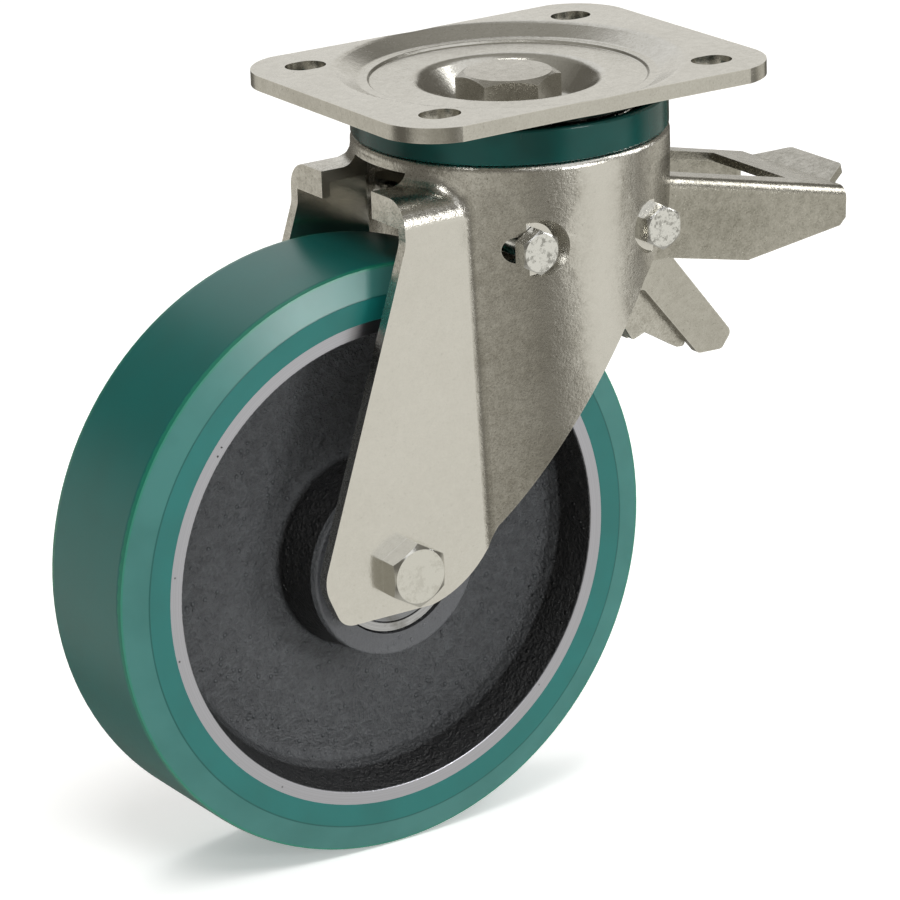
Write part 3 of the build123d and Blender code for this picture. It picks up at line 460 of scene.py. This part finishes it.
class Finishes:
    """Every finish of the castor, built once and shared by the nodes that use it."""

    def __init__(self) -> None:
        swivel = dict(centre=(0.0, 0.0, 0.0), axis="Z")
        self._recipes: dict[str, Finish] = {
            "plate_steel": PlatedSteel(
                "Satin plated steel, plate", mottle=0.5, cloud_mm=34.0, relief=0.6, light="#cfcdc6"
            ),
            "fork_steel": PlatedSteel(
                "Satin plated steel, fork", calm_side=True, mottle=0.8, light="#dfddd7"
            ),
            "pedal_steel": PlatedSteel(
                "Satin plated steel, pedal", mottle=0.85, light="#bfbcb3", dark="#88857a"
            ),
            "carriage_steel": PlatedSteel("Satin plated steel, carriage", mottle=0.6, light="#cbc9c1"),
            "bracket_steel": PlatedSteel("Satin plated steel, bracket", mottle=0.7, dark="#8a8578"),
            "shoe_steel": PlatedSteel("Satin plated steel, shoe", mottle=0.8, dark="#7f7a6e"),
            "kingpin_steel": PlatedSteel(
                "Satin plated steel, kingpin", mottle=0.6, roughness=(0.20, 0.32),
                light="#c6c3bb", dark="#8f8b80",
            ),
            "bolt_zinc": BrightZinc("Bright zinc-plated steel"),
            "axle_zinc": BrightZinc(
                "Zinc-plated steel, axle bolt", light="#dddcd6", dark="#b0ada4", worn=0.3, spot_mm=4.0
            ),
            "bare_steel": TurnedSteel("Turned bare steel"),
            "bearing_steel": TurnedSteel(
                "Ground bearing steel", colour="#c4c5c8", dark="#8f9094", roughness=0.14
            ),
            "shield_steel": TurnedSteel(
                "Rolled bearing shield", colour="#9c9ea3", dark="#74767b", roughness=0.2
            ),
            "head_steel": TurnedSteel("Turned bare steel, swivel head", **swivel),
            "ball_steel": PolishedSteel("Polished ball steel"),
            "wheel_iron": CastIron("Painted sand-cast iron"),
            "tyre_pu": Polyurethane("Moulded polyurethane"),
            "seal_plastic": GlossPlastic("Glossy thermoplastic"),
        }
        self._built: dict[str, bpy.types.Material] = {}

    def get(self, name: str) -> bpy.types.Material:
        """Return a finish's material, built the first time that it is asked for."""
        if name not in self._built:
            self._built[name] = self._recipes[name].build()
        return self._built[name]


def paint_node(node: str, material: bpy.types.Material) -> None:
    """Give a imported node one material, in place of its plain one.

    Args:
        node: The node's name.
        material: Its finish.
    """
    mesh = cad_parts[node].data
    mesh.materials.clear()
    mesh.materials.append(material)


@dataclass(frozen=True)
class Thread:
    """A screw thread's ridge on the free end of a bolt.

    Attributes:
        name: The new piece's name.
        start: Centre of the thread's inner end.
        along: Direction from there to the bolt's tip.
        radius_mm: The shank's radius.
        length_mm: How far the thread shows.
        pitch_mm: Distance between turns.
    """

    name: str
    start: tuple[float, float, float]
    along: tuple[float, float, float]
    radius_mm: float
    length_mm: float
    pitch_mm: float

    def build(self, material: bpy.types.Material) -> bpy.types.Object:
        """Sweep a three-sided ridge along a helix and keep it as a plain mesh.

        Args:
            material: The bolt's finish.

        Returns:
            The ridge, in the row frame, its object at the origin.
        """
        tree = bpy.data.node_groups.new(self.name, "GeometryNodeTree")
        tree.interface.new_socket("Geometry", in_out="OUTPUT", socket_type="NodeSocketGeometry")
        turns = self.length_mm / self.pitch_mm
        sunk = (self.radius_mm - SUNK_SHARE * self.pitch_mm) * MM
        helix = add_node(tree, "GeometryNodeCurveSpiral", {
            "Resolution": 40, "Rotations": turns, "Height": self.length_mm * MM,
            "Start Radius": sunk, "End Radius": sunk,
        })
        ridge_radius = RIDGE_SHARE * self.pitch_mm * MM
        profile = add_node(tree, "GeometryNodeCurvePrimitiveCircle", {"Resolution": 8, "Radius": ridge_radius})
        ridge = add_node(tree, "GeometryNodeCurveToMesh", {
            "Curve": helix.outputs[0], "Profile Curve": profile.outputs[0], "Fill Caps": True,
        })
        turn = Vector((0, 0, 1)).rotation_difference(Vector(self.along)).to_euler()
        placed = add_node(tree, "GeometryNodeTransform", {
            "Geometry": ridge.outputs[0], "Translation": self.start, "Rotation": turn,
        })
        return realised(self.name, tree, placed.outputs[0], material)


def realised(
    name: str, tree: bpy.types.NodeTree, geometry: Socket, material: bpy.types.Material
) -> bpy.types.Object:
    """Close a geometry tree, run it once and keep its result as a plain mesh.

    Args:
        name: The new piece's name.
        tree: The tree, with its output socket declared.
        geometry: What the tree makes.
        material: The piece's finish.

    Returns:
        The new object, at the origin, with no modifier.
    """
    real = add_node(tree, "GeometryNodeRealizeInstances", {0: geometry})
    coloured = add_node(tree, "GeometryNodeSetMaterial", {"Geometry": real.outputs[0], "Material": material})
    add_node(tree, "NodeGroupOutput", {0: coloured.outputs[0]})
    scene = bpy.context.scene
    live = bpy.data.objects.new(name + "_live", bpy.data.meshes.new(name + "_live"))
    scene.collection.objects.link(live)
    live.modifiers.new("Repeat", "NODES").node_group = tree
    graph = bpy.context.evaluated_depsgraph_get()
    mesh = bpy.data.meshes.new_from_object(live.evaluated_get(graph))
    bpy.data.objects.remove(live)
    piece = bpy.data.objects.new(name, mesh)
    scene.collection.objects.link(piece)
    for face in mesh.polygons:
        face.use_smooth = True
    return piece


class Assembly:
    """A group of nodes that move together, with their finishes and added pieces."""

    body: Body
    nodes: dict[str, str] = {}
    threads: tuple[Thread, ...] = ()
    thread_finish: str = "bolt_zinc"

    def __init__(self, finishes: Finishes) -> None:
        self.finishes = finishes

    def dress(self) -> None:
        """Give every node of this group its finish."""
        for node, finish in self.nodes.items():
            paint_node(node, self.finishes.get(finish))

    def build(self) -> None:
        """Add the group's own surface pieces."""
        for thread in self.threads:
            piece = thread.build(self.finishes.get(self.thread_finish))
            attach(piece, self.body.value)


class MountingHead(Assembly):
    """The mounting plate, the kingpin and what is clamped under it."""

    body = Body.PLATE
    nodes = {
        "top_plate": "plate_steel", "kingpin_bolt": "kingpin_steel", "kingpin_spacer": "head_steel",
        "lower_race": "head_steel", "swivel_lock_ring": "head_steel", "kingpin_nut": "bolt_zinc",
    }


class Fork(Assembly):
    """The pressed fork with its seal, balls, axle and pivot bolt."""

    body = Body.FORK
    nodes = {
        "fork": "fork_steel", "dust_seal": "seal_plastic",
        "upper_balls": "ball_steel", "lower_balls": "ball_steel",
        "axle_bolt": "axle_zinc", "axle_nut": "axle_zinc",
        "axle_tube": "bare_steel", "axle_spacer": "bare_steel",
        "axle_collar_near": "bearing_steel", "axle_collar_far": "bearing_steel",
        "bearing_inner_near": "bearing_steel", "bearing_inner_far": "bearing_steel",
        "pivot_bolt": "bolt_zinc", "pivot_nut": "bolt_zinc", "pivot_sleeve": "bare_steel",
    }
    threads = (
        Thread("axle_thread", (-0.067, 0.0448, -0.150), (0, 1, 0), 6.0, 1.9, 1.75),
        Thread("pivot_thread", (0.025, 0.0522, -0.049), (0, 1, 0), 4.0, 1.3, 1.25),
    )


class Wheel(Assembly):
    """The iron wheel centre, its tyre and the turning parts of its bearings."""

    body = Body.WHEEL
    nodes = {
        "wheel_core": "wheel_iron", "tyre": "tyre_pu",
        "bearing_outer_near": "bearing_steel", "bearing_outer_far": "bearing_steel",
        "bearing_shield_near": "shield_steel", "bearing_shield_far": "shield_steel",
        "bearing_balls_near": "ball_steel", "bearing_balls_far": "ball_steel",
    }


class Pedal(Assembly):
    """The folded foot pedal and its cam pin."""

    body = Body.PEDAL
    nodes = {"brake_pedal": "pedal_steel", "cam_pin": "bare_steel"}


class Carriage(Assembly):
    """The sliding lever with the shoe, its bracket, the adjuster and the pawl."""

    body = Body.CARRIAGE
    nodes = {
        "brake_carriage": "carriage_steel", "guide_bolt": "bolt_zinc", "guide_nut": "bolt_zinc",
        "shoe_bracket": "bracket_steel", "brake_shoe": "shoe_steel", "shoe_pin": "bare_steel",
        "adjuster_screw": "bolt_zinc", "adjuster_nut": "bolt_zinc", "lock_pawl": "bare_steel",
    }
    threads = (
        Thread("guide_thread", (-0.023, 0.0525, -0.0483), (0, 1, 0), 4.0, 1.3, 1.25),
        Thread("adjuster_thread", (0.03146, 0.0, -0.09224), (-0.8526, 0.0, -0.5225), 3.0, 7.0, 1.0),
    )


@dataclass(frozen=True)
class PhotoCamera:
    """The camera that took the reference view, solved from the castor's own circles and hexagons."""

    place: tuple[float, float, float] = (-0.79578, -1.19901, 0.36264)
    right: tuple[float, float, float] = (0.83547495, -0.54859174, -0.03207338)
    up: tuple[float, float, float] = (0.20391609, 0.25529689, 0.94511466)
    lens_mm: float = 182.35
    sensor_mm: float = 36.0

    def build(self) -> None:
        """Set the camera from its two side directions."""
        data = bpy.data.cameras.new("PhotoCamera")
        data.lens = self.lens_mm
        data.sensor_width = self.sensor_mm
        data.clip_end = 20.0
        camera = bpy.data.objects.new("PhotoCamera", data)
        right, up = Vector(self.right).normalized(), Vector(self.up).normalized()
        turned = Matrix((right, up, right.cross(up))).transposed().to_4x4()
        camera.matrix_world = Matrix.Translation(self.place) @ turned
        bpy.context.scene.collection.objects.link(camera)
        bpy.context.scene.camera = camera


@dataclass(frozen=True)
class Lamp:
    """One soft light.

    Attributes:
        name: The light's name.
        place: Its centre.
        target: The point that it faces.
        size: Width and height.
        power: Watts.
        mirrored: Whether it shows in glossy reflections.
    """

    name: str
    place: tuple[float, float, float]
    target: tuple[float, float, float]
    size: tuple[float, float]
    power: float
    mirrored: bool = True

    def build(self) -> None:
        """Add the light to the scene."""
        data = bpy.data.lights.new(self.name, "AREA")
        data.shape = "RECTANGLE"
        data.size, data.size_y = self.size
        data.energy = self.power
        lamp = bpy.data.objects.new(self.name, data)
        lamp.location = self.place
        lamp.visible_glossy = self.mirrored
        aim = Vector(self.target) - Vector(self.place)
        lamp.rotation_euler = aim.to_track_quat("-Z", "Y").to_euler()
        bpy.context.scene.collection.objects.link(lamp)


@dataclass(frozen=True)
class Card:
    """One soft bright or dark card of the room around the castor, seen only in its reflections and light.

    Attributes:
        toward: Direction from the castor to the card's middle.
        full: Angle from that direction, in degrees, within which the card covers all.
        edge: Angle at which it has faded out.
        colour: Its colour.
    """

    toward: tuple[float, float, float]
    full: float
    edge: float
    colour: str


class Studio:
    """The white sweep, the room and the soft boxes around the castor."""

    lamps = (
        Lamp("KeyBox", (-0.6, -0.7, 1.4), (-0.02, 0.0, -0.1), (0.6, 0.6), 10.0),
        Lamp("FrontBox", (0.40, -1.35, 0.22), (-0.05, 0.0, -0.12), (0.35, 0.35), 5.2),
        Lamp("RightBox", (1.3, -0.5, 0.7), (0.0, 0.0, -0.1), (0.5, 0.9), 7.0),
        Lamp("BackBox", (-0.1, 1.0, 1.7), (0.0, 0.0, -0.1), (1.2, 0.6), 10.0, mirrored=False),
    )
    floor_glow = 0.32
    base = "#6f6c65"
    cards = (
        Card((0.0, 0.0, 1.0), 30.0, 65.0, "#a9a7a1"),
        Card((0.55, 0.80, 0.24), 10.0, 24.0, "#f5f3ee"),
        Card((0.55, -0.80, -0.22), 18.0, 34.0, "#e6e4dc"),
        Card((-0.55, 0.80, -0.20), 12.0, 32.0, "#dcd9d0"),
        Card((-0.85, -0.50, -0.10), 12.0, 34.0, "#c9c6bd"),
        Card((-0.20, -0.95, -0.22), 6.0, 16.0, "#8f8c83"),
        Card((0.25, 0.80, 0.52), 10.0, 21.0, "#ffffff"),
        Card((0.35, -0.35, 0.87), 14.0, 26.0, "#ffffff"),
        Card((0.07, -0.80, 0.60), 8.0, 20.0, "#ffffff"),
        Card((-0.55, -0.80, -0.22), 8.0, 22.0, "#b0ada3"),
        Card((0.95, 0.10, -0.22), 8.0, 24.0, "#cfccc2"),
        Card((0.75, 0.60, -0.25), 8.0, 20.0, "#5a574f"),
        Card((0.0, 0.0, -1.0), 30.0, 60.0, "#b9b7b0"),
    )

    def build(self) -> None:
        """Build the floor, the room and the lamps."""
        self._floor()
        self._room()
        for lamp in self.lamps:
            lamp.build()
        bpy.context.scene.view_settings.view_transform = "Standard"

    def _floor(self) -> None:
        """A wide pale floor that the tyre stands on, left out of glossy reflections."""
        mesh = bpy.data.meshes.new("Floor")
        signs = ((-1, -1), (1, -1), (1, 1), (-1, 1))
        corners = [(x * FLOOR_HALF, y * FLOOR_HALF, FLOOR_Z) for x, y in signs]
        mesh.from_pydata(corners, [], [(0, 1, 2, 3)])
        floor = bpy.data.objects.new("Floor", mesh)
        bpy.context.scene.collection.objects.link(floor)
        g = Graph("White studio floor")
        dust = g.noise(40.0, 2.0)
        paint = g.mix(dust, "#fbfbfb", WHITE)
        glow = dict(Emission_Color=linear(WHITE), Emission_Strength=self.floor_glow)
        mesh.materials.append(g.finish(Base_Color=paint, Roughness=0.9, **glow))
        floor.visible_glossy = False

    def _room(self) -> None:
        """A dim room with soft cards in it, and plain white behind the object for the camera."""
        world = bpy.data.worlds.new("Room")
        bpy.context.scene.world = world
        world.use_nodes = True
        tree = world.node_tree
        tree.nodes.clear()
        spot = add_node(tree, "ShaderNodeTexCoord").outputs["Generated"]
        tone: Value = linear(self.base)
        for card in self.cards:
            toward = tuple(Vector(card.toward).normalized())
            near = add_node(tree, "ShaderNodeVectorMath", {0: spot, 1: toward}, operation="DOT_PRODUCT")
            reach = {
                "Value": near.outputs["Value"],
                "From Min": math.cos(math.radians(card.edge)),
                "From Max": math.cos(math.radians(card.full)),
            }
            cover = add_node(tree, "ShaderNodeMapRange", reach, interpolation_type="SMOOTHSTEP").outputs[0]
            layers = {0: cover, 6: tone, 7: linear(card.colour)}
            tone = add_node(tree, "ShaderNodeMix", layers, data_type="RGBA").outputs[2]
        light = add_node(tree, "ShaderNodeBackground", {"Color": tone, "Strength": 1.0})
        plain = add_node(tree, "ShaderNodeBackground", {"Color": linear(WHITE), "Strength": 1.0})
        path = add_node(tree, "ShaderNodeLightPath").outputs["Is Camera Ray"]
        both = add_node(tree, "ShaderNodeMixShader", {0: path, 1: light.outputs[0], 2: plain.outputs[0]})
        add_node(tree, "ShaderNodeOutputWorld", {0: both.outputs[0]})


def main() -> None:
    """Dress the castor and set the scene."""
    logging.basicConfig(level=logging.INFO, format="%(name)s: %(message)s")
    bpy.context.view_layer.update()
    finishes = Finishes()
    for kind in (MountingHead, Fork, Wheel, Pedal, Carriage):
        assembly = kind(finishes)
        assembly.dress()
        assembly.build()
        log.info("%s dressed", kind.__name__)
    Studio().build()
    PhotoCamera().build()


if __name__ == "__main__":
    main()
